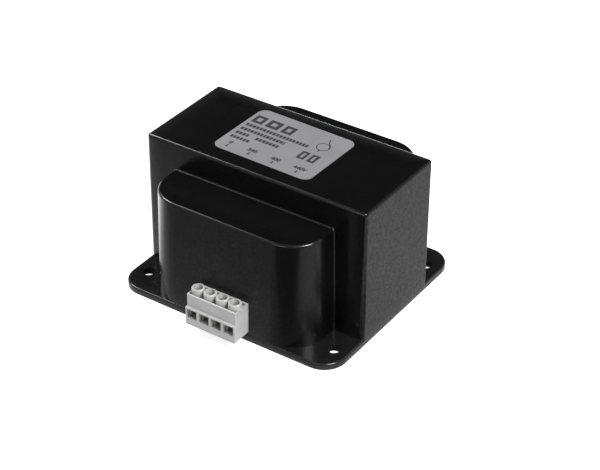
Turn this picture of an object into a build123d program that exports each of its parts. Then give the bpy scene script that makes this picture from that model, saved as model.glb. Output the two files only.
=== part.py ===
from build123d import *
import math
import os

# Potted step-down transformer: a moulded box with two coil bulges and a fixing
# flange, open underneath and filled with resin, and a four-pole terminal block
# on its front bulge. Millimetres, +Z up. The origin is the centre of the four
# fixing holes on the underside. The terminal block faces -Y.

# Laminated core, low and wide: the middle leg is twice as wide as an outer one
outer_leg = 10.0
middle_leg = 20.0
yoke = 10.0
window_width = 20.0
window_height = 28.0
core_stack = 33.0
core_lift = 1.6
core_length = middle_leg + 2 * (window_width + outer_leg)
core_height = window_height + 2 * yoke

# Bobbin and windings on the middle leg
bobbin_play = 0.3
bobbin_wall = 1.0
bobbin_flange = 1.0
bobbin_end_play = 0.2
bobbin_side_gap = 1.8
bobbin_overhang = 16.4
bobbin_flange_corner = 6.0
bobbin_corner = 0.5
common_build = 6.8
series_build = 4.6
top_build = 2.2
tape_thickness = 0.3

# Moulded housing, sized at the top edges of the box and of the bulges
wall = 2.2
roof = 2.2
side_gap = 1.95
stack_gap = 1.85
roof_gap = 0.55
box_corner = 1.3
box_edge = 1.0
box_draft = 0.1
bulge_side_gap = 1.8
bulge_front_gap = 3.3
bulge_roof_gap = 0.7
bulge_corner = 12.4
bulge_edge = 0.9
bulge_draft = 1.1
inner_corner = 0.4
junction_round = 0.6

# Fixing flange
flange_thickness = 2.4
flange_end_lip = 0.05
flange_front_lip = 0.35
flange_corner = 8.5
flange_edge = 0.6
hole_diameter = 4.3
hole_spacing_x = 77.5
hole_spacing_y = 58.8

# Resin
resin_recess = 0.8

# Terminal block
poles = 4
pitch = 5.0
block_offset = 0.95
block_lift = 3.5
block_depth = 8.1
block_corner = 0.35
end_margin = 2.5
lintel_height = 0.4
ledge_step = 0.9
ledge_chamfer = 0.2
screw_from_front = 4.1
deck_thickness = 0.7
deck_recess = 1.1
deck_front_wall = 0.7
deck_side_wall = 0.5
deck_back_wall = 0.8
tower_diameter = 4.6
tower_rise = 1.9
tower_bore = 3.3
tower_chamfer = 0.25
seat_play = 0.1
spigot_inset = 1.0
spigot_bottom = 2.0
spigot_height = 7.5
spigot_length = 3.4

# Wire entries, tapering from the front to the clamps
entry_width = 3.5
entry_height = 4.0
entry_bottom = 2.5
throat_width = 3.3
throat_height = 4.1
throat_bottom = 2.3

# Rising clamps, contact bars and screws
cage_width = 3.9
cage_front = 2.5
cage_back = 1.8
cage_side = 0.6
cage_floor = 0.8
cage_top = 1.2
cage_play = 0.1
wire_space = 3.1
clamp_travel = 2.25
travel_margin = 0.15
bar_width = 2.3
bar_thickness = 0.8
bar_front_margin = 0.5
bar_lift = 5.4
tail_width = 1.6
tail_length = 2.2
screw_diameter = 2.4
thread_play = 0.05
shank_play = 0.1
head_diameter = 3.1
head_height = 1.6
head_play = 0.1
slot_width = 0.6
slot_depth = 0.7

# Leads from the windings down to the contact tails
lead_diameter = 1.4
lead_reach = 2.0
lead_bend = 1.3
lead_start = 3.5
lead_step = 6.0

# Rating label
label_length = 39.4
label_depth = 29.6
label_thickness = 0.15
label_corner = 3.2
label_shift = (-1.8, 0.4)
label_turn = -1.2

# Housing sizes that follow from what it holds
box_length = core_length + 2 * (side_gap + wall)
box_depth = core_stack + 2 * (stack_gap + wall)
box_height = core_lift + core_height + roof_gap + roof
window_bottom = core_lift + yoke
window_top = window_bottom + window_height
coil_half_length = middle_leg / 2 + window_width - bobbin_side_gap
coil_half_depth = core_stack / 2 + bobbin_overhang
bulge_length = 2 * (coil_half_length + bulge_side_gap + wall)
bulge_depth = 2 * (coil_half_depth + bulge_front_gap + wall)
bulge_height = window_top + bulge_roof_gap + roof


def spread(height, draft):
    """How far a drafted side leans out over a height."""
    return height * math.tan(math.radians(draft))


flange_length = box_length + 2 * (spread(box_height, box_draft) + flange_end_lip)
flange_depth = bulge_depth + 2 * (spread(bulge_height, bulge_draft) + flange_front_lip)
hole_x = hole_spacing_x / 2
hole_y = hole_spacing_y / 2

# Heights and places in the terminal block
block_width = (poles - 1) * pitch + 2 * end_margin
ledge_height = entry_bottom + entry_height + lintel_height
bar_bottom = block_lift + bar_lift
bar_top = bar_bottom + bar_thickness
cage_bottom = bar_bottom - wire_space - cage_floor
cage_height = cage_floor + wire_space + bar_thickness + cage_top
cavity_top = bar_top + cage_top + clamp_travel + travel_margin
deck_top = cavity_top + deck_thickness
block_top = deck_top + deck_recess
tower_top = block_top + tower_rise
head_bottom = deck_top + head_play
seat_top = block_top + seat_play
seat_y = -(bulge_depth / 2 + spread(bulge_height - seat_top, bulge_draft))
block_front = seat_y - block_depth
screw_y = block_front + screw_from_front
spigot_back = seat_y + spigot_length
bar_front = screw_y - cage_front + bar_front_margin
tail_end = spigot_back + tail_length
pole_x = [block_offset + (i - (poles - 1) / 2) * pitch for i in range(poles)]


def box_between(x0, x1, y0, y1, z0, z1):
    """Plain block between two corners."""
    middle = Pos((x0 + x1) / 2, (y0 + y1) / 2, (z0 + z1) / 2)
    return middle * Box(x1 - x0, y1 - y0, z1 - z0)


def drafted_block(length, depth, height, corner, draft, bottom=0.0):
    """Upright block with the given top face, wider towards its bottom."""
    lean = spread(height - bottom, draft)
    foot = RectangleRounded(length + 2 * lean, depth + 2 * lean, corner + lean)
    return extrude(Plane.XY.offset(bottom) * foot, height - bottom, taper=draft)


def round_top(shape, radius):
    """The shape with the edges of its top face rounded."""
    top = shape.faces().sort_by(Axis.Z)[-1]
    return fillet(top.edges(), radius)


def cavity(bottom=0.0):
    """Hollow of the housing, above the given height."""
    roof_z = box_height - roof
    lean = spread(roof, box_draft)
    room = drafted_block(
        box_length + 2 * lean - 2 * wall, box_depth + 2 * lean - 2 * wall,
        roof_z, inner_corner, box_draft, bottom)
    bulge_roof = bulge_height - roof
    lean = spread(roof, bulge_draft)
    coil_room = drafted_block(
        bulge_length + 2 * lean - 2 * wall, bulge_depth + 2 * lean - 2 * wall,
        bulge_roof, bulge_corner - wall, bulge_draft, bottom)
    return room + coil_room


def meets_box(edge):
    """Whether an edge is where a bulge meets a long side of the box."""
    middle = edge.position_at(0.5)
    side = box_depth / 2 + spread(box_height - middle.Z, box_draft)
    reach = bulge_length / 2 + spread(bulge_height, bulge_draft)
    on_side = abs(abs(middle.Y) - side) < 0.02 and abs(middle.X) < reach + 0.02
    return on_side and 0.02 < middle.Z < bulge_height + 0.02


def housing():
    box = round_top(drafted_block(box_length, box_depth, box_height, box_corner, box_draft), box_edge)
    bulge = round_top(
        drafted_block(bulge_length, bulge_depth, bulge_height, bulge_corner, bulge_draft), bulge_edge)
    body = box + bulge
    body = fillet(body.edges().filter_by(meets_box), junction_round)
    flange = extrude(RectangleRounded(flange_length, flange_depth, flange_corner), flange_thickness)
    flange = round_top(flange, flange_edge)
    shell = body + flange - cavity()
    for x in (-hole_x, hole_x):
        for y in (-hole_y, hole_y):
            shell -= Pos(x, y, flange_thickness / 2) * Cylinder(hole_diameter / 2, 2 * flange_thickness)
    half = block_width / 2 + seat_play
    seat = box_between(
        block_offset - half, block_offset + half, seat_y - wall, seat_y,
        block_lift - seat_play, seat_top)
    half = block_width / 2 - spigot_inset + seat_play
    spigot_hole = box_between(
        block_offset - half, block_offset + half, seat_y - wall, spigot_back,
        block_lift + spigot_bottom - seat_play, block_lift + spigot_bottom + spigot_height + seat_play)
    return shell - seat - spigot_hole


def e_laminations():
    stack = box_between(
        -core_length / 2, core_length / 2, -core_stack / 2, core_stack / 2, core_lift, window_top)
    for side in (-1, 1):
        middle = side * (middle_leg + window_width) / 2
        stack -= box_between(
            middle - window_width / 2, middle + window_width / 2, -core_stack, core_stack,
            window_bottom, window_top + yoke)
    return stack


def i_laminations():
    return box_between(
        -core_length / 2, core_length / 2, -core_stack / 2, core_stack / 2,
        window_top, window_top + yoke)


tube_half_length = middle_leg / 2 + bobbin_play + bobbin_wall
tube_half_depth = core_stack / 2 + bobbin_play + bobbin_wall
bobbin_bottom = window_bottom + bobbin_end_play
bobbin_top = window_top - bobbin_end_play
coil_bottom = bobbin_bottom + bobbin_flange
coil_top = bobbin_top - bobbin_flange


def pack_outline(build, bottom, top):
    """Upright rounded block that stands out from the bobbin's tube by a build."""
    outline = RectangleRounded(
        2 * (tube_half_length + build), 2 * (tube_half_depth + build), bobbin_corner + build)
    return extrude(Plane.XY.offset(bottom) * outline, top - bottom)


def bobbin_ends():
    """The bobbin's two end plates, without their opening."""
    outline = RectangleRounded(2 * coil_half_length, 2 * coil_half_depth, bobbin_flange_corner)
    lower = extrude(Plane.XY.offset(bobbin_bottom) * outline, bobbin_flange)
    upper = extrude(Plane.XY.offset(coil_top) * outline, bobbin_flange)
    return [lower, upper]


def bobbin():
    spool = pack_outline(0.0, bobbin_bottom, bobbin_top)
    for plate in bobbin_ends():
        spool += plate
    bore_length = middle_leg + 2 * bobbin_play
    bore_depth = core_stack + 2 * bobbin_play
    return spool - box_between(
        -bore_length / 2, bore_length / 2, -bore_depth / 2, bore_depth / 2, 0, box_height)


# Layers from the tube outwards: node name and thickness
coil_layers = [
    ("common_winding", common_build),
    ("inner_tape", tape_thickness),
    ("series_winding", series_build),
    ("middle_tape", tape_thickness),
    ("top_winding", top_build),
    ("outer_tape", tape_thickness),
]
coil_build = sum(thickness for name, thickness in coil_layers)
coil_front = -(tube_half_depth + coil_build)


def coil_rings():
    """Each winding and tape layer as a closed ring around the bobbin."""
    rings = {}
    inside = 0.0
    for name, thickness in coil_layers:
        outer = pack_outline(inside + thickness, coil_bottom, coil_top)
        rings[name] = outer - pack_outline(inside, coil_bottom, coil_top)
        inside += thickness
    return rings


def lead_wire(index):
    """Insulated lead from the coil's front down to the top of one contact tail."""
    x = pole_x[index]
    drop_y = coil_front - lead_reach
    start_z = coil_bottom + lead_start + index * lead_step
    route = FilletPolyline(
        (x, coil_front, start_z), (x, drop_y, start_z), (x, drop_y, bar_top), radius=lead_bend)
    section = Plane((x, coil_front, start_z), z_dir=(0, -1, 0)) * Circle(lead_diameter / 2)
    return sweep(section, path=route)


def contact_bar(index):
    """Flat bar over the wire, with a narrower tail that takes the lead."""
    x = pole_x[index]
    bar = box_between(
        x - bar_width / 2, x + bar_width / 2, bar_front, spigot_back, bar_bottom, bar_top)
    tail = box_between(
        x - tail_width / 2, x + tail_width / 2, spigot_back, tail_end, bar_bottom, bar_top)
    return bar + tail


def clamp_cage(index):
    """Loop around the bar: the screw's thread in its top lifts the floor to the wire."""
    x = pole_x[index]
    cage = box_between(
        x - cage_width / 2, x + cage_width / 2,
        screw_y - cage_front, screw_y + cage_back,
        cage_bottom, cage_bottom + cage_height)
    cage -= box_between(
        x - cage_width / 2 + cage_side, x + cage_width / 2 - cage_side,
        screw_y - 2 * cage_front, screw_y + 2 * cage_back,
        cage_bottom + cage_floor, bar_top)
    thread = Cylinder(screw_diameter / 2 + thread_play, 2 * cage_top)
    return cage - Pos(x, screw_y, bar_top + cage_top) * thread


def terminal_screw(index):
    """Slotted screw whose tip bears on the contact bar."""
    shank_length = head_bottom - bar_top
    shank = Pos(0, 0, bar_top + shank_length / 2) * Cylinder(screw_diameter / 2, shank_length)
    head = Pos(0, 0, head_bottom + head_height / 2) * Cylinder(head_diameter / 2, head_height)
    slot = Pos(0, 0, head_bottom + head_height) * Box(slot_width, 2 * head_diameter, 2 * slot_depth)
    return Pos(pole_x[index], screw_y, 0) * (shank + head - slot)


def wire_entry(x):
    """Funnel from the block's front face to the clamp cavity."""
    throat_y = screw_y - cage_front - cage_play
    mouth_plane = Plane((x, block_front, block_lift + entry_bottom + entry_height / 2), z_dir=(0, 1, 0))
    throat_plane = Plane((x, throat_y, block_lift + throat_bottom + throat_height / 2), z_dir=(0, 1, 0))
    mouth = mouth_plane * Rectangle(entry_width, entry_height)
    throat = throat_plane * Rectangle(throat_width, throat_height)
    return loft([mouth, throat])


def terminal_body():
    left = block_offset - block_width / 2
    right = block_offset + block_width / 2
    strip_front = block_front + ledge_step
    lower = box_between(left, right, block_front, seat_y, block_lift, block_lift + ledge_height)
    ledge = lower.edges().filter_by(Axis.X).sort_by(Axis.Z)[-2:].sort_by(Axis.Y)[0]
    lower = chamfer(ledge, ledge_chamfer)
    upper = box_between(left, right, strip_front, seat_y, block_lift, block_top)
    upper = fillet(upper.edges().filter_by(Axis.Z).sort_by(Axis.Y)[:2], block_corner)
    upper -= box_between(
        left + deck_side_wall, right - deck_side_wall,
        strip_front + deck_front_wall, seat_y - deck_back_wall, deck_top, tower_top)
    body = lower + upper
    body += box_between(
        left + spigot_inset, right - spigot_inset, seat_y, spigot_back,
        block_lift + spigot_bottom, block_lift + spigot_bottom + spigot_height)
    for x in pole_x:
        tower_height = tower_top - deck_top
        tower = Pos(x, screw_y, deck_top + tower_height / 2) * Cylinder(tower_diameter / 2, tower_height)
        rim = tower.edges().filter_by(GeomType.CIRCLE).sort_by(Axis.Z)[-1]
        body += chamfer(rim, tower_chamfer)
    for index, x in enumerate(pole_x):
        bore = Cylinder(tower_bore / 2, tower_top - deck_top)
        body -= Pos(x, screw_y, (deck_top + tower_top) / 2) * bore
        shank_hole = Cylinder(screw_diameter / 2 + shank_play, 2 * deck_thickness)
        body -= Pos(x, screw_y, deck_top) * shank_hole
        body -= box_between(
            x - cage_width / 2 - cage_play, x + cage_width / 2 + cage_play,
            screw_y - cage_front - cage_play, screw_y + cage_back + cage_play,
            block_lift, cavity_top)
        body -= wire_entry(x)
        body -= contact_bar(index)
    return body


def rating_label():
    outline = RectangleRounded(label_length, label_depth, label_corner)
    sheet = extrude(outline, label_thickness)
    return Pos(label_shift[0], label_shift[1], box_height) * Rot(0, 0, label_turn) * sheet


def potting_resin(inner_pieces):
    """Resin around the core and coil, up to a little inside the flange's underside."""
    resin = cavity(resin_recess)
    spool = pack_outline(coil_build, coil_bottom, coil_top)
    for plate in bobbin_ends():
        spool += plate
    leg = box_between(
        -tube_half_length, tube_half_length, -tube_half_depth, tube_half_depth,
        window_bottom, window_top)
    resin -= spool
    resin -= leg
    for piece in inner_pieces:
        resin -= piece
    return resin


pieces = {
    "housing": housing(),
    "e_laminations": e_laminations(),
    "i_laminations": i_laminations(),
    "bobbin": bobbin(),
    "terminal_body": terminal_body(),
    "rating_label": rating_label(),
}
pieces.update(coil_rings())
for i in range(poles):
    number = i + 1
    pieces[f"lead_wire_{number}"] = lead_wire(i)
    pieces[f"contact_bar_{number}"] = contact_bar(i)
    pieces[f"clamp_cage_{number}"] = clamp_cage(i)
    pieces[f"terminal_screw_{number}"] = terminal_screw(i)
embedded = ["e_laminations", "i_laminations", "terminal_body"]
for i in range(poles):
    embedded += [f"lead_wire_{i + 1}", f"contact_bar_{i + 1}"]
pieces["potting_resin"] = potting_resin([pieces[name] for name in embedded])

os.makedirs("parts", exist_ok=True)
for name, shape in pieces.items():
    export_step(shape, f"parts/{name}.step")

print("box", round(box_length, 3), round(box_depth, 3), round(box_height, 3))
print("bulge", round(bulge_length, 3), round(bulge_depth, 3), round(bulge_height, 3))
print("flange", round(flange_length, 4), round(flange_depth, 4))
print("hole spacing", round(2 * hole_x, 4), round(2 * hole_y, 4))
print("block front, screw line, seat", round(block_front, 3), round(screw_y, 3), round(seat_y, 3))
print("screw places", [round(x, 3) for x in pole_x])
print("clamp: cage bottom, bar, cavity top", cage_bottom, bar_bottom, bar_top, cavity_top)
print("coil front, tail end", round(coil_front, 3), round(tail_end, 3))
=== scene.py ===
import bmesh
import bpy
import math
import random
from mathutils import Matrix, Vector


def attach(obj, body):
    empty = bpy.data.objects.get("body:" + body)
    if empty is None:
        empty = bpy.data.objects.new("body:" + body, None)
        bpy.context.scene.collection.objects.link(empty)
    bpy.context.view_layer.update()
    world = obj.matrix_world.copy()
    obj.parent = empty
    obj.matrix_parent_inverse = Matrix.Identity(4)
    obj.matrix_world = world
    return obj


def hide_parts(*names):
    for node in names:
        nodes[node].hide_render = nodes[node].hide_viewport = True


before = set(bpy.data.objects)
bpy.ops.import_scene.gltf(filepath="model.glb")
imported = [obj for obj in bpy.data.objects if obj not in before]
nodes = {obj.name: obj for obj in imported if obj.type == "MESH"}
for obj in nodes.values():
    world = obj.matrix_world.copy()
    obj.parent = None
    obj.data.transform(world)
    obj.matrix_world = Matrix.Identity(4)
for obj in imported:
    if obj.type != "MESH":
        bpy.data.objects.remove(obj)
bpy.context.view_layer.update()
MM = 0.001

# Sizes and places that the CAD model has, in millimetres, with the angle of its label
LABEL_TOP = 52.5
LABEL_CENTRE = (-1.8, 0.4)
LABEL_TURN = math.radians(-1.2)
HOLE = (38.75, 29.4)
POLES = 4
POLE_PITCH = 5.0
FIRST_POLE_X = -6.55
SCREW_Y = -42.924
BAR_TOP = 9.7
HEAD_BOTTOM = 14.1
HEAD_HEIGHT = 1.6
HEAD_RADIUS = 1.55
SHANK_RADIUS = 1.2
THREAD_PITCH = 0.45


# Nodes for materials

def new_material(name, base, roughness, metallic=0.0):
    """Principled material with object coordinates ready for its textures."""
    mat = bpy.data.materials.new(name)
    mat.use_nodes = True
    tree = mat.node_tree
    bsdf = tree.nodes["Principled BSDF"]
    bsdf.inputs["Base Color"].default_value = (*base, 1)
    bsdf.inputs["Roughness"].default_value = roughness
    bsdf.inputs["Metallic"].default_value = metallic
    coords = tree.nodes.new("ShaderNodeTexCoord")
    return mat, tree, bsdf, coords.outputs["Object"]


def feed(tree, bsdf, colour, roughness=None, normal=None):
    """Links a colour and, where given, a roughness and a normal to the shader."""
    for value, socket in ((colour, "Base Color"), (roughness, "Roughness"), (normal, "Normal")):
        if value:
            tree.links.new(value, bsdf.inputs[socket])


def add_noise(tree, where, scale, detail=2.0, roughness=0.5, stretch=None):
    """Noise with features about 1/scale metres apart, stretched along an axis if asked."""
    if stretch:
        mapping = tree.nodes.new("ShaderNodeMapping")
        mapping.inputs["Scale"].default_value = stretch
        tree.links.new(where, mapping.inputs["Vector"])
        where = mapping.outputs["Vector"]
    noise = tree.nodes.new("ShaderNodeTexNoise")
    noise.inputs["Scale"].default_value = scale
    noise.inputs["Detail"].default_value = detail
    noise.inputs["Roughness"].default_value = roughness
    tree.links.new(where, noise.inputs["Vector"])
    return noise.outputs["Fac"]


def add_bands(tree, where, direction, scale, distortion):
    """Waves in bands that follow each other along an axis."""
    wave = tree.nodes.new("ShaderNodeTexWave")
    wave.bands_direction = direction
    wave.inputs["Scale"].default_value = scale
    wave.inputs["Distortion"].default_value = distortion
    tree.links.new(where, wave.inputs["Vector"])
    return wave.outputs["Fac"]


def ramp(tree, fac, stops):
    """Colour ramp over a factor: stops are (position, colour)."""
    node = tree.nodes.new("ShaderNodeValToRGB")
    elements = node.color_ramp.elements
    elements[0].position, elements[1].position = stops[0][0], stops[-1][0]
    elements[0].color, elements[1].color = (*stops[0][1], 1), (*stops[-1][1], 1)
    for position, colour in stops[1:-1]:
        elements.new(position).color = (*colour, 1)
    tree.links.new(fac, node.inputs["Fac"])
    return node.outputs["Color"]


def grey_ramp(tree, fac, stops):
    """Ramp of plain grey levels over 0 to 1; levels above 1 are scaled back after it."""
    top = max(level for position, level in stops)
    colour = ramp(tree, fac, [(position, (level / top,) * 3) for position, level in stops])
    return math_node(tree, "MULTIPLY", colour, top)


def to_range(tree, fac, low, high, from_low=0.3, from_high=0.7):
    """A factor spread over a range of numbers; noise lies mostly between 0.3 and 0.7."""
    node = tree.nodes.new("ShaderNodeMapRange")
    node.inputs["From Min"].default_value = from_low
    node.inputs["From Max"].default_value = from_high
    node.inputs["To Min"].default_value = low
    node.inputs["To Max"].default_value = high
    tree.links.new(fac, node.inputs["Value"])
    return node.outputs["Result"]


def zone(tree, value, places_mm, low=0, high=1):
    """Runs in a straight line from low to high between two places."""
    return to_range(tree, value, low, high, places_mm[0] * MM, places_mm[1] * MM)


def smooth_step(tree, value, start, end):
    """Runs smoothly from 0 to 1 between two values."""
    node = tree.nodes.new("ShaderNodeMapRange")
    node.interpolation_type = "SMOOTHSTEP"
    node.inputs["From Min"].default_value = start
    node.inputs["From Max"].default_value = end
    tree.links.new(value, node.inputs["Value"])
    return node.outputs["Result"]


def fade(tree, value, start_mm, end_mm):
    """Runs smoothly from 0 to 1 between two places."""
    return smooth_step(tree, value, start_mm * MM, end_mm * MM)


def add_bump(tree, height, distance_mm, strength=1.0, under=None):
    """Bump of a height, on top of another bump if one is given."""
    node = tree.nodes.new("ShaderNodeBump")
    node.inputs["Strength"].default_value = strength
    node.inputs["Distance"].default_value = distance_mm * MM
    tree.links.new(height, node.inputs["Height"])
    if under:
        tree.links.new(under, node.inputs["Normal"])
    return node.outputs["Normal"]


def give(tree, socket, value):
    """Sets a socket to a number, or links it to another socket."""
    if isinstance(value, (int, float)):
        socket.default_value = value
    else:
        tree.links.new(value, socket)


def math_node(tree, operation, first, second=0):
    """Result of an operation on two numbers, each a value or a socket."""
    node = tree.nodes.new("ShaderNodeMath")
    node.operation = operation
    give(tree, node.inputs[0], first)
    give(tree, node.inputs[1], second)
    return node.outputs[0]


def blend(tree, share, first, second):
    """Number between two others, each a value or a socket."""
    node = tree.nodes.new("ShaderNodeMix")
    tree.links.new(share, node.inputs["Factor"])
    give(tree, node.inputs["A"], first)
    give(tree, node.inputs["B"], second)
    return node.outputs["Result"]


def blend_colours(tree, share, first, second):
    """Colour between two others; the node has its colour sockets after those for numbers."""
    node = tree.nodes.new("ShaderNodeMix")
    node.data_type = "RGBA"
    tree.links.new(share, node.inputs[0])
    tree.links.new(first, node.inputs[6])
    tree.links.new(second, node.inputs[7])
    return node.outputs[2]


def split_axes(tree, where):
    """The X, Y and Z of a place."""
    node = tree.nodes.new("ShaderNodeSeparateXYZ")
    tree.links.new(where, node.inputs[0])
    return node.outputs["X"], node.outputs["Y"], node.outputs["Z"]


def distance_to(tree, where, point):
    """How far a place is from a point."""
    node = tree.nodes.new("ShaderNodeVectorMath")
    node.operation = "DISTANCE"
    tree.links.new(where, node.inputs[0])
    node.inputs[1].default_value = point
    return node.outputs["Value"]


# The housing's surface, as places in millimetres

# Heights between which the flange's lighter tone, a painted sheen, gives way to the box's
FLANGE_SHEEN_FADE = (2.2, 3.4)
# A duller patch on the bulge above the terminal block, by the distance from its middle
DULL_CENTRE = (3, -39, 14)
DULL_REACH = (13, 26)
DULL_EXTRA = 0.22
# The ends of the box have a coarser speckle, by the distance from the middle of the part
END_FACE = (43, 44)
# The walls of the fixing holes have little gloss, by the distance from the hole's axis
HOLE_WALL = (2.2, 2.6)
HOLE_GLOSS = 0.02
# The top falls a little towards its ends and its back edge
CROWN_END = (37.6, 44.1)
CROWN_BACK = (14, 20.5)
CROWN_HEIGHT = 0.4


def housing_colour(tree, grain, z):
    """Black; the flange is painted a little lighter, a painted sheen for the light that its top
    reflects.
    """
    body = ramp(tree, grain, [(0.3, (0.0012, 0.0012, 0.0014)), (0.7, (0.0028, 0.0028, 0.0031))])
    # The flange's lighter ramp is painted sheen, not a different plastic
    flange = ramp(tree, grain, [(0.3, (0.0075, 0.0075, 0.0079)), (0.7, (0.0115, 0.0115, 0.012))])
    return blend_colours(tree, zone(tree, z, FLANGE_SHEEN_FADE), flange, body)


def housing_roughness(tree, where):
    """Slightly clouded, with the duller patch above the terminal block."""
    cloud = add_noise(tree, where, 45, 3.0, 0.55)
    centre = [place * MM for place in DULL_CENTRE]
    extra = zone(tree, distance_to(tree, where, centre), DULL_REACH, DULL_EXTRA, 0)
    return math_node(tree, "ADD", to_range(tree, cloud, 0.2, 0.24), extra)


def housing_gloss(tree, where, from_middle_x, from_middle_y):
    """Speckled, coarser on the ends of the box, and nearly none in the fixing holes."""
    speckle = add_noise(tree, where, 1100, 3.0, 0.75)
    fine = to_range(tree, speckle, 0.35, 0.65)
    coarse = to_range(tree, speckle, 0.15, 0.85)
    gloss = blend(tree, zone(tree, from_middle_x, END_FACE), fine, coarse)
    flat = tree.nodes.new("ShaderNodeCombineXYZ")
    tree.links.new(from_middle_x, flat.inputs[0])
    tree.links.new(from_middle_y, flat.inputs[1])
    from_hole = distance_to(tree, flat.outputs[0], (HOLE[0] * MM, HOLE[1] * MM, 0))
    return blend(tree, zone(tree, from_hole, HOLE_WALL, 1, 0), gloss, HOLE_GLOSS)


def housing_crown(tree, from_middle_x, y):
    """Height of the crowned top, from 1 in its middle to 0 at its ends and back edge."""
    edge = math_node(tree, "MAXIMUM", zone(tree, from_middle_x, CROWN_END), zone(tree, y, CROWN_BACK))
    return math_node(tree, "SUBTRACT", 1.0, math_node(tree, "MULTIPLY", edge, edge))


def housing_plastic():
    mat, tree, bsdf, where = new_material("housing_plastic", (0.012, 0.012, 0.013), 0.3)
    x, y, z = split_axes(tree, where)
    from_middle_x = math_node(tree, "ABSOLUTE", x)
    from_middle_y = math_node(tree, "ABSOLUTE", y)
    grain = add_noise(tree, where, 2300, 3.0, 0.6)
    waves = add_noise(tree, where, 110, 2.0, 0.5)
    normal = add_bump(tree, housing_crown(tree, from_middle_x, y), CROWN_HEIGHT)
    normal = add_bump(tree, waves, 0.04, 0.5, normal)
    normal = add_bump(tree, grain, 0.01, 0.5, normal)
    feed(tree, bsdf, housing_colour(tree, grain, z), housing_roughness(tree, where), normal)
    gloss = housing_gloss(tree, where, from_middle_x, from_middle_y)
    tree.links.new(gloss, bsdf.inputs["Specular IOR Level"])
    return mat


# The other materials

def terminal_plastic():
    mat, tree, bsdf, where = new_material("terminal_plastic", (0.43, 0.43, 0.43), 0.4)
    grain = add_noise(tree, where, 3500, 2.0, 0.5)
    cloud = add_noise(tree, where, 260, 2.0, 0.5)
    colour = ramp(tree, cloud, [(0.3, (0.405, 0.405, 0.403)), (0.7, (0.455, 0.455, 0.453))])
    feed(tree, bsdf, colour, to_range(tree, cloud, 0.34, 0.44), add_bump(tree, grain, 0.012, 0.5))
    return mat


def label_foil():
    mat, tree, bsdf, where = new_material("label_foil", (0.27, 0.27, 0.28), 0.42, 0.35)
    grain = add_noise(tree, where, 4200, 2.0, 0.5)
    cloud = add_noise(tree, where, 60, 2.0, 0.5)
    colour = ramp(tree, cloud, [(0.3, (0.25, 0.25, 0.262)), (0.7, (0.284, 0.284, 0.295))])
    feed(tree, bsdf, colour, to_range(tree, grain, 0.36, 0.5), add_bump(tree, grain, 0.006, 0.5))
    return mat


def label_ink():
    mat, tree, bsdf, where = new_material("label_ink", (0.02, 0.02, 0.024), 0.5)
    worn = add_noise(tree, where, 2600, 3.0, 0.6)
    feed(tree, bsdf, ramp(tree, worn, [(0.35, (0.014, 0.014, 0.017)), (0.75, (0.04, 0.04, 0.045))]))
    return mat


def bright_metal(name, base, roughness, scale=1500, stretch=None, metallic=1.0):
    mat, tree, bsdf, where = new_material(name, base, roughness, metallic)
    marks = add_noise(tree, where, scale, 4.0, 0.6, stretch)
    cloud = add_noise(tree, where, 500, 3.0, 0.6)
    dull = tuple(c * 0.72 for c in base)
    feed(
        tree, bsdf, ramp(tree, cloud, [(0.3, dull), (0.7, base)]),
        to_range(tree, cloud, roughness - 0.06, roughness + 0.1), add_bump(tree, marks, 0.01, 0.5))
    return mat


def cast_resin():
    mat, tree, bsdf, where = new_material("resin", (0.022, 0.021, 0.02), 0.2)
    waves = add_noise(tree, where, 70, 2.0, 0.5)
    specks = add_noise(tree, where, 1500, 3.0, 0.6)
    colour = ramp(tree, specks, [(0.35, (0.016, 0.015, 0.015)), (0.75, (0.034, 0.032, 0.03))])
    normal = add_bump(tree, specks, 0.01, 0.3, add_bump(tree, waves, 0.4, 0.5))
    feed(tree, bsdf, colour, to_range(tree, waves, 0.15, 0.3), normal)
    return mat


def laminations():
    """Thin varnished sheets stacked along Y."""
    mat, tree, bsdf, where = new_material("core_steel", (0.3, 0.3, 0.32), 0.42, 0.9)
    sheets = add_bands(tree, where, "Y", 320, 0.6)
    colour = ramp(tree, sheets, [(0.1, (0.08, 0.08, 0.09)), (0.45, (0.32, 0.32, 0.34))])
    feed(tree, bsdf, colour, None, add_bump(tree, sheets, 0.05, 0.6))
    return mat


def enamelled_copper():
    """Rows of wire laid round the coil, one above the other."""
    mat, tree, bsdf, where = new_material("copper_wire", (0.6, 0.24, 0.1), 0.28, 0.9)
    rows = add_bands(tree, where, "Z", 250, 0.2)
    colour = ramp(tree, rows, [(0.1, (0.2, 0.06, 0.025)), (0.6, (0.62, 0.25, 0.1))])
    feed(tree, bsdf, colour, None, add_bump(tree, rows, 0.2, 0.8))
    return mat


def plain_plastic(name, base, roughness, scale=900):
    mat, tree, bsdf, where = new_material(name, base, roughness)
    cloud = add_noise(tree, where, scale, 3.0, 0.55)
    dark = tuple(c * 0.82 for c in base)
    feed(
        tree, bsdf, ramp(tree, cloud, [(0.3, dark), (0.7, base)]),
        to_range(tree, cloud, roughness - 0.05, roughness + 0.08), add_bump(tree, cloud, 0.02, 0.4))
    return mat


materials = {
    "housing": housing_plastic(),
    "terminal": terminal_plastic(),
    "label": label_foil(),
    "ink": label_ink(),
    "screw": bright_metal("screw_steel", (0.62, 0.62, 0.6), 0.3),
    "cage": bright_metal("clamp_steel", (0.5, 0.49, 0.47), 0.36, 1600, (1, 1, 0.2), 0.6),
    "bar": bright_metal("tinned_brass", (0.66, 0.65, 0.6), 0.34, 1800, (1, 0.15, 1)),
    "resin": cast_resin(),
    "core": laminations(),
    "copper": enamelled_copper(),
    "bobbin": plain_plastic("bobbin_plastic", (0.72, 0.69, 0.6), 0.45),
    "tape": plain_plastic("tape", (0.75, 0.55, 0.1), 0.3, 300),
    "lead": plain_plastic("lead_insulation", (0.45, 0.06, 0.045), 0.4),
}


# Pieces of the CAD model: materials and slightly rounded edges

def dress(node, key):
    """Gives a CAD node its material."""
    mesh = nodes[node].data
    mesh.materials.clear()
    mesh.materials.append(materials[key])


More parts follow.
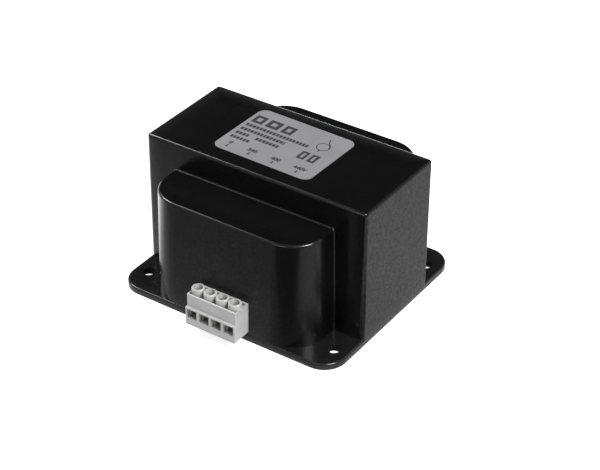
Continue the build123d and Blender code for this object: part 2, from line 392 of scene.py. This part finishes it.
def soften(node, width_mm):
    """Rounds the sharp edges of a CAD node a little, as a modifier."""
    bevel = nodes[node].modifiers.new("soft_edges", "BEVEL")
    bevel.width = width_mm * MM
    bevel.segments = 2
    bevel.limit_method = "ANGLE"
    bevel.angle_limit = math.radians(35)
    bevel.use_clamp_overlap = True
    bevel.harden_normals = False


dress("housing", "housing")
dress("terminal_body", "terminal")
dress("rating_label", "label")
dress("potting_resin", "resin")
dress("e_laminations", "core")
dress("i_laminations", "core")
dress("bobbin", "bobbin")
for name in ("common_winding", "series_winding", "top_winding"):
    dress(name, "copper")
for name in ("inner_tape", "middle_tape", "outer_tape"):
    dress(name, "tape")
soften("terminal_body", 0.09)
for number in range(1, POLES + 1):
    dress(f"lead_wire_{number}", "lead")
    dress(f"contact_bar_{number}", "bar")
    dress(f"clamp_cage_{number}", "cage")
    soften(f"clamp_cage_{number}", 0.12)
    soften(f"contact_bar_{number}", 0.1)


# Meshes and objects made here

def show(obj):
    """Adds an object to the scene."""
    bpy.context.scene.collection.objects.link(obj)
    return obj


def to_mesh(bm, name):
    """Mesh of a bmesh, which is freed."""
    mesh = bpy.data.meshes.new(name)
    bm.to_mesh(mesh)
    bm.free()
    return mesh


def make_object(name, mesh, key, smooth_angle=None):
    """New piece with a material; faces that meet under the angle are shaded smooth."""
    mesh.materials.clear()
    mesh.materials.append(materials[key])
    if smooth_angle:
        mesh.shade_smooth()
        mesh.set_sharp_from_angle(angle=math.radians(smooth_angle))
    return show(bpy.data.objects.new(name, mesh))


def applied(obj):
    """Mesh of an object with its modifiers applied; the object goes away."""
    bpy.context.view_layer.update()
    graph = bpy.context.evaluated_depsgraph_get()
    mesh = bpy.data.meshes.new_from_object(obj.evaluated_get(graph))
    bpy.data.objects.remove(obj)
    return mesh


def join_meshes(name, meshes):
    """One mesh out of several."""
    bm = bmesh.new()
    for mesh in meshes:
        bm.from_mesh(mesh)
    return to_mesh(bm, name)


def ring(radii, height):
    """Points round Z in millimetres, one for each radius."""
    points = []
    for i, radius in enumerate(radii):
        angle = 2 * math.pi * i / len(radii)
        points.append((radius * math.cos(angle), radius * math.sin(angle), height))
    return points


def stack_rings(name, rings):
    """Closed solid through rings from the bottom to the top, each with as many points."""
    bm = bmesh.new()
    loops = [[bm.verts.new([c * MM for c in point]) for point in points] for points in rings]
    for low, high in zip(loops, loops[1:]):
        for i in range(len(low)):
            j = (i + 1) % len(low)
            bm.faces.new((low[i], low[j], high[j], high[i]))
    bm.faces.new(list(reversed(loops[0])))
    bm.faces.new(loops[-1])
    return to_mesh(bm, name)


def lathe(profile, steps=48):
    """Closed solid of revolution about Z: profile is (radius, height) from the bottom to the top."""
    return stack_rings("lathe", [ring([radius] * steps, height) for radius, height in profile])


def box_mesh(low, high):
    """Block between two corners in millimetres."""
    bm = bmesh.new()
    bmesh.ops.create_cube(bm, size=1)
    size = [(b - a) * MM for a, b in zip(low, high)]
    middle = [(a + b) / 2 * MM for a, b in zip(low, high)]
    place = Matrix.Translation(middle) @ Matrix.Diagonal((*size, 1))
    bmesh.ops.transform(bm, matrix=place, verts=bm.verts)
    return to_mesh(bm, "box")


# Terminal screws, with a slotted head and a cut thread, sizes in millimetres

SLOT_WIDTH = 0.6
SLOT_DEPTH = 0.7
SLOT_ROUNDING = 0.05
SLOT_TURNS = (0.5, 1.15, 0.15, 0.8)
THREAD_ROOT = 0.24
THREAD_HEIGHT = 0.22
# How steeply the thread's flanks fall, in thread heights a pitch
FLANK_SLOPE = 2.4
THREAD_RUN_IN = 0.5
THREAD_RUN_OUT = 0.3
# How far the shank reaches into the head, so that the two join
SHANK_OVERLAP = 0.02


def slotted_head(turn):
    """Cheese head with rounded edges and a screwdriver slot."""
    top = HEAD_BOTTOM + HEAD_HEIGHT
    profile = [
        (HEAD_RADIUS - 0.1, HEAD_BOTTOM), (HEAD_RADIUS, HEAD_BOTTOM + 0.1),
        (HEAD_RADIUS, top - 0.22), (HEAD_RADIUS - 0.07, top - 0.08), (HEAD_RADIUS - 0.22, top - 0.01),
        (HEAD_RADIUS - 0.5, top)]
    head = show(bpy.data.objects.new("head", lathe(profile)))
    reach = 2 * HEAD_RADIUS
    slot_mesh = box_mesh((-reach, -SLOT_WIDTH / 2, top - SLOT_DEPTH), (reach, SLOT_WIDTH / 2, top + 1))
    slot = show(bpy.data.objects.new("slot", slot_mesh))
    slot.rotation_euler = (0, 0, turn)
    cut = head.modifiers.new("cut", "BOOLEAN")
    cut.operation = "DIFFERENCE"
    cut.object = slot
    cut.solver = "EXACT"
    bevel = head.modifiers.new("bevel", "BEVEL")
    bevel.width = SLOT_ROUNDING * MM
    bevel.segments = 2
    bevel.limit_method = "ANGLE"
    bevel.angle_limit = math.radians(50)
    mesh = applied(head)
    bpy.data.objects.remove(slot)
    return mesh


def thread_radius(turns, rise, length):
    """Radius of the threaded shank at an angle in turns and a height above its end."""
    run = min(1.0, rise / THREAD_RUN_IN, (length - rise) / THREAD_RUN_OUT)
    phase = (rise / THREAD_PITCH - turns) % 1.0
    crest = max(0.0, 1.0 - abs(phase - 0.5) * FLANK_SLOPE)
    return SHANK_RADIUS - THREAD_ROOT + THREAD_HEIGHT * crest * max(0.0, run)


def threaded_shank(bottom, top, steps=32, rows_per_turn=8):
    """Rod with a raised helical thread, closed at both ends."""
    length = top - bottom
    rows = int(length / THREAD_PITCH * rows_per_turn)
    rings = []
    for row in range(rows + 1):
        rise = length * row / rows
        radii = [thread_radius(i / steps, rise, length) for i in range(steps)]
        rings.append(ring(radii, bottom + rise))
    return stack_rings("thread", rings)


for index in range(POLES):
    head = slotted_head(SLOT_TURNS[index])
    shank = threaded_shank(BAR_TOP, HEAD_BOTTOM + SHANK_OVERLAP)
    screw = make_object(f"clamp_screw_{index + 1}", join_meshes("screw", [head, shank]), "screw", 40)
    screw.location = ((FIRST_POLE_X + POLE_PITCH * index) * MM, SCREW_Y * MM, 0)
    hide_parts(f"terminal_screw_{index + 1}")
    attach(screw, f"screw_{index + 1}")


# Print on the label, as thin raised ink: plain blocks, a winding symbol, ticks and plain numbers.
# Places on the label are in its own millimetres, from its centre to the right and to the back.

PRINT_SCALE = 0.985
INK = 0.012
# Hollow blocks in the heading's place: left, right and stroke, between two heights
HEADING_HEIGHT = (5.5, 10.5)
HEADING_BLOCKS = ((-18.5, -14.0, 1.35), (-12.6, -7.4, 1.5), (-6.0, -1.6, 1.35))
# Rows of short blocks in the place of text: left, right, bottom and top
TEXT_ROWS = (
    (-18.5, 8.3, 2.3, 4.0), (-18.5, 0.0, -0.8, 0.9), (-18.3, -12.7, -3.9, -2.2),
    (-10.0, -0.2, -3.9, -2.2), (-18.3, -10.2, -6.95, -5.3))
BLOCK_WIDTHS = (0.95, 1.2)
BLOCK_GAP = 0.3
SHORTEST_BLOCK = 0.5
# Two hollow blocks at the lower right: left and right, between two heights
MARK_HEIGHT = (-4.9, 0.1)
MARK_BLOCKS = ((8.0, 11.0), (12.2, 15.1))
MARK_STROKE = 1.0
# Winding symbol: a circle with a bent line over it and a tick under it
CIRCLE = (12.0, 5.9, 2.35)
CIRCLE_WIDTH = 0.34
WINDING_LINE = ((11.5, 11.2), (11.9, 9.9), (12.8, 8.6), (13.8, 7.4), (14.3, 6.3), (14.3, 5.6))
WINDING_WIDTH = 0.4
WINDING_TICK = (11.8, 12.2, 2.3, 3.6)
# Tap numbers over the terminals, each with a tick and its foot
TAPS = ((-15.3, "0"), (-6.2, "240"), (3.5, "400"), (13.5, "440V"))
TICK_HALF_WIDTH = 0.25
TICK_HEIGHT = (-12.7, -11.4)
FOOT_HALF_WIDTH = 0.5
FOOT_HEIGHT = (-12.95, -12.6)
NUMBER_BASE = -10.7
NUMBER_SIZE = 2.4
NUMBER_BOLDNESS = 0.12


def label_point(u, v, height=0.0):
    """Point on the label: u to the right and v to the back from its centre."""
    u *= PRINT_SCALE
    v *= PRINT_SCALE
    x = LABEL_CENTRE[0] + u * math.cos(LABEL_TURN) - v * math.sin(LABEL_TURN)
    y = LABEL_CENTRE[1] + u * math.sin(LABEL_TURN) + v * math.cos(LABEL_TURN)
    return Vector((x * MM, y * MM, (LABEL_TOP + height) * MM))


def ink_prism(bm, outline):
    """Thin prism of ink over an outline in label millimetres."""
    low = [bm.verts.new(label_point(u, v, 0.0)) for u, v in outline]
    high = [bm.verts.new(label_point(u, v, INK)) for u, v in outline]
    bm.faces.new(list(reversed(low)))
    bm.faces.new(high)
    for i in range(len(outline)):
        j = (i + 1) % len(outline)
        bm.faces.new((low[i], low[j], high[j], high[i]))


def ink_bar(bm, u0, u1, v0, v1):
    """Filled block."""
    ink_prism(bm, [(u0, v0), (u1, v0), (u1, v1), (u0, v1)])


def ink_frame(bm, u0, u1, v0, v1, stroke):
    """Hollow block with a heavy outline."""
    ink_bar(bm, u0, u1, v0, v0 + stroke)
    ink_bar(bm, u0, u1, v1 - stroke, v1)
    ink_bar(bm, u0, u0 + stroke, v0 + stroke, v1 - stroke)
    ink_bar(bm, u1 - stroke, u1, v0 + stroke, v1 - stroke)


def ink_circle(bm, u, v, radius, width, steps=40):
    """Round line about a point."""
    outer, inner = radius + width / 2, radius - width / 2
    for i in range(steps):
        a = math.radians(360.0 * i / steps)
        b = math.radians(360.0 * (i + 1) / steps)
        corners = ((inner, a), (outer, a), (outer, b), (inner, b))
        ink_prism(bm, [(u + r * math.cos(turn), v + r * math.sin(turn)) for r, turn in corners])


def ink_line(bm, points, width):
    """Bent line through points."""
    for (u0, v0), (u1, v1) in zip(points, points[1:]):
        length = math.hypot(u1 - u0, v1 - v0)
        across_u, across_v = -(v1 - v0) / length * width / 2, (u1 - u0) / length * width / 2
        ink_prism(bm, [
            (u0 - across_u, v0 - across_v), (u1 - across_u, v1 - across_v),
            (u1 + across_u, v1 + across_v), (u0 + across_u, v0 + across_v)])


def ink_row(bm, rng, u0, u1, v0, v1):
    """Row of short blocks that stands for a line of text."""
    u = u0
    while u < u1 - SHORTEST_BLOCK:
        width = min(rng.uniform(*BLOCK_WIDTHS), u1 - u)
        ink_bar(bm, u, u + width, v0, v1)
        u += width + BLOCK_GAP


def block_print():
    """All the print except the numbers."""
    bm = bmesh.new()
    rng = random.Random(5)
    for left, right, stroke in HEADING_BLOCKS:
        ink_frame(bm, left, right, *HEADING_HEIGHT, stroke)
    for row in TEXT_ROWS:
        ink_row(bm, rng, *row)
    ink_circle(bm, *CIRCLE, CIRCLE_WIDTH)
    ink_line(bm, WINDING_LINE, WINDING_WIDTH)
    ink_bar(bm, *WINDING_TICK)
    for left, right in MARK_BLOCKS:
        ink_frame(bm, left, right, *MARK_HEIGHT, MARK_STROKE)
    for u, text in TAPS:
        ink_bar(bm, u - TICK_HALF_WIDTH, u + TICK_HALF_WIDTH, *TICK_HEIGHT)
        ink_bar(bm, u - FOOT_HALF_WIDTH, u + FOOT_HALF_WIDTH, *FOOT_HEIGHT)
    return to_mesh(bm, "label_print")


def number_print(text, u, v):
    """Plain number in the built-in typeface, as thin ink."""
    curve = bpy.data.curves.new("number", "FONT")
    curve.body = text
    curve.size = NUMBER_SIZE
    curve.align_x = "CENTER"
    curve.extrude = INK / 2
    curve.offset = NUMBER_BOLDNESS
    mesh = applied(show(bpy.data.objects.new("number", curve)))
    for vertex in mesh.vertices:
        vertex.co = label_point(u + vertex.co.x, v + vertex.co.y, INK / 2 + vertex.co.z)
    return mesh


prints = [block_print()] + [number_print(text, u, NUMBER_BASE) for u, text in TAPS]
label_print = make_object("label_print", join_meshes("label_print", prints), "ink")
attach(label_print, "transformer")


# Stage: pale floor and backdrop, soft lights

FLOOR_REACH = 3
FLOOR_GLOW = 0.75
AMBIENT = 0.25
# What gloss shows of the floor, in levels and in zones. A zone is a fade between two places in
# millimetres, or a spot: its centre, where it starts to fade and where it ends.
# From the dim front to the bright left, by y - x / 2
LEFT_SHEEN = ((-60, 0.28), (-40, 0.36), (-18, 0.6), (-6, 0.95), (8, 1.5), (30, 2.2))
# Shade to the right, by x - y / 2 before the part and by x beside it; the two change over by y
SHADE_SHEEN = 0.07
SHADE_Y = (-40, -28)
SHADE_BEFORE = (42, 54)
SHADE_BESIDE = (-4, 25)
# A bright spot to the right
RIGHT_SHEEN = 0.6
RIGHT_SPOT = ((110, 10), 75, 98)
# The gap between the end of the box and that spot
GAP_SHEEN = 0.1
GAP_SPOT = ((66, -13), 4, 16)
# The ground beside the bulge and before the box
CORNER_SHEEN = 0.12
CORNER_SPOT = ((36, -31), 10, 29)
CORNER_Y = (-22, -14)
# The ground near the part, left of its middle, is at least this bright
NEAR_SHEEN = 0.6
NEAR_Y = (-60, -40)
NEAR_X = (8, 28)
# The ground behind the part, on the right
BACK_SHEEN = 0.68
BACK_Y = (-15, 35)
BACK_X = (0, 45)
# The ground under the flange's rim, by the distance from the middle of the part
RIM_SHEEN = 0.85
RIM_X = (44.9, 46.8)
RIM_Y = (40.2, 42.1)
# What gloss shows of the backdrop: even, with a dark part by height above the horizon (sine)
SKY_SHEEN = 0.4
DARK_SKY = (
    (0.0, 0.5), (0.24, 0.5), (0.32, 0.25), (0.39, 0.03), (0.45, 0.01), (0.6, 0.01),
    (0.72, 0.1), (0.92, 0.35))
DARK_SKY_TOWARDS = (-0.4, 0.59, 0.7)
DARK_SKY_REACH = (0.5, 0.8)


def spot(tree, where, centre_mm, inner_mm, outer_mm):
    """1 within the inner radius of a point on the floor, 0 outside the outer radius."""
    distance = distance_to(tree, where, (centre_mm[0] * MM, centre_mm[1] * MM, 0))
    return math_node(tree, "SUBTRACT", 1.0, fade(tree, distance, inner_mm, outer_mm))


def seen_directly(tree, path):
    """1 for rays from the camera, also through glass."""
    return math_node(tree, "MAXIMUM", path.outputs["Is Camera Ray"], path.outputs["Is Transmission Ray"])


def floor_sheen(tree, where):
    """Level that gloss shows of the floor."""
    x, y = split_axes(tree, where)[:2]
    slant = math_node(tree, "SUBTRACT", y, math_node(tree, "MULTIPLY", x, 0.5))
    first, last = LEFT_SHEEN[0][0], LEFT_SHEEN[-1][0]
    stops = [((place - first) / (last - first), level) for place, level in LEFT_SHEEN]
    level = grey_ramp(tree, zone(tree, slant, (first, last)), stops)
    ahead = math_node(tree, "SUBTRACT", x, math_node(tree, "MULTIPLY", y, 0.5))
    before = fade(tree, ahead, *SHADE_BEFORE)
    beside = fade(tree, x, *SHADE_BESIDE)
    level = blend(tree, blend(tree, fade(tree, y, *SHADE_Y), before, beside), level, SHADE_SHEEN)
    level = blend(tree, spot(tree, where, *RIGHT_SPOT), level, RIGHT_SHEEN)
    level = blend(tree, spot(tree, where, *GAP_SPOT), level, GAP_SHEEN)
    in_front = math_node(tree, "SUBTRACT", 1.0, fade(tree, y, *CORNER_Y))
    corner = math_node(tree, "MULTIPLY", spot(tree, where, *CORNER_SPOT), in_front)
    level = blend(tree, corner, level, CORNER_SHEEN)
    close = math_node(tree, "SUBTRACT", fade(tree, y, *NEAR_Y), fade(tree, x, *NEAR_X))
    level = math_node(tree, "MAXIMUM", level, math_node(tree, "MULTIPLY", close, NEAR_SHEEN))
    back_right = math_node(tree, "MULTIPLY", fade(tree, y, *BACK_Y), fade(tree, x, *BACK_X))
    level = blend(tree, back_right, level, BACK_SHEEN)
    out_x = fade(tree, math_node(tree, "ABSOLUTE", x), *RIM_X)
    out_y = fade(tree, math_node(tree, "ABSOLUTE", y), *RIM_Y)
    return blend(tree, math_node(tree, "MAXIMUM", out_x, out_y), RIM_SHEEN, level)


def stage_floor():
    """White to the camera, with the part's shadow, and levels of its own for gloss."""
    mat, tree, bsdf, where = new_material("floor", (0.8, 0.8, 0.8), 0.9)
    bsdf.inputs["Specular IOR Level"].default_value = 0.0
    path = tree.nodes.new("ShaderNodeLightPath")
    glow = tree.nodes.new("ShaderNodeEmission")
    strength = math_node(tree, "MULTIPLY", seen_directly(tree, path), FLOOR_GLOW)
    tree.links.new(strength, glow.inputs["Strength"])
    lit = tree.nodes.new("ShaderNodeAddShader")
    tree.links.new(bsdf.outputs[0], lit.inputs[0])
    tree.links.new(glow.outputs[0], lit.inputs[1])
    sheen = tree.nodes.new("ShaderNodeEmission")
    tree.links.new(floor_sheen(tree, where), sheen.inputs["Strength"])
    both = tree.nodes.new("ShaderNodeMixShader")
    tree.links.new(path.outputs["Is Glossy Ray"], both.inputs["Fac"])
    tree.links.new(lit.outputs[0], both.inputs[1])
    tree.links.new(sheen.outputs[0], both.inputs[2])
    tree.links.new(both.outputs[0], tree.nodes["Material Output"].inputs["Surface"])
    bm = bmesh.new()
    bmesh.ops.create_grid(bm, x_segments=1, y_segments=1, size=FLOOR_REACH)
    mesh = to_mesh(bm, "floor")
    mesh.materials.append(mat)
    show(bpy.data.objects.new("floor", mesh))


def studio_world():
    """White to the camera, an even light on the part, and a partly dark sky for gloss."""
    world = bpy.data.worlds.new("studio")
    bpy.context.scene.world = world
    world.use_nodes = True
    tree = world.node_tree
    background = tree.nodes["Background"]
    background.inputs["Color"].default_value = (1, 1, 1, 1)
    path = tree.nodes.new("ShaderNodeLightPath")
    coords = tree.nodes.new("ShaderNodeTexCoord")
    height = split_axes(tree, coords.outputs["Generated"])[2]
    aside = distance_to(tree, coords.outputs["Generated"], DARK_SKY_TOWARDS)
    share = smooth_step(tree, aside, *DARK_SKY_REACH)
    sky = blend(tree, share, grey_ramp(tree, height, DARK_SKY), SKY_SHEEN)
    glossy = math_node(tree, "MULTIPLY", sky, path.outputs["Is Glossy Ray"])
    diffuse = math_node(tree, "MULTIPLY", path.outputs["Is Diffuse Ray"], AMBIENT)
    total = math_node(tree, "ADD", math_node(tree, "ADD", seen_directly(tree, path), glossy), diffuse)
    tree.links.new(total, background.inputs["Strength"])


LAMP_TARGET = (0, 0, 0.02)


def area_light(name, place, width, height, power):
    """Lamp turned to the part: place and size in metres, power in watts."""
    data = bpy.data.lights.new(name, "AREA")
    data.shape = "RECTANGLE"
    data.size, data.size_y = width, height
    data.energy = power
    light = show(bpy.data.objects.new(name, data))
    light.location = place
    aim = Vector(LAMP_TARGET) - Vector(place)
    light.rotation_mode = "QUATERNION"
    light.rotation_quaternion = aim.to_track_quat("-Z", "Y")


stage_floor()
studio_world()
area_light("right", (0.69, -0.1, 0.77), 0.35, 0.35, 12.0)
area_light("front", (-0.1, -1.0, 0.45), 0.6, 0.5, 1.6)
area_light("left", (-0.74, 0.02, 0.78), 0.4, 0.4, 7.5)


# Camera, fitted to the photograph's edges: focal length in pixels, offset from the part in
# millimetres to the camera's right, up and back

FOCAL = 1785.797
IMAGE_WIDTH = 600
SENSOR_WIDTH = 36
YAW = math.radians(33.969)
PITCH = math.radians(34.106)
ROLL = math.radians(0.422)
OFFSET = (4.2557, 13.6008, 627.4736)


def photo_camera():
    back = Vector((math.sin(YAW) * math.cos(PITCH), -math.cos(YAW) * math.cos(PITCH), math.sin(PITCH)))
    right = Vector((math.cos(YAW), math.sin(YAW), 0))
    up = back.cross(right)
    across = math.cos(ROLL) * right + math.sin(ROLL) * up
    along = -math.sin(ROLL) * right + math.cos(ROLL) * up
    data = bpy.data.cameras.new("camera")
    data.sensor_width = SENSOR_WIDTH
    data.lens = FOCAL * SENSOR_WIDTH / IMAGE_WIDTH
    data.clip_start = 0.01
    data.clip_end = 20
    camera = show(bpy.data.objects.new("camera", data))
    place = (OFFSET[0] * across + OFFSET[1] * along + OFFSET[2] * back) * MM
    turn = Matrix((across, along, back)).transposed().to_4x4()
    camera.matrix_world = Matrix.Translation(place) @ turn
    bpy.context.scene.camera = camera


photo_camera()
bpy.context.scene.view_settings.view_transform = "Standard"
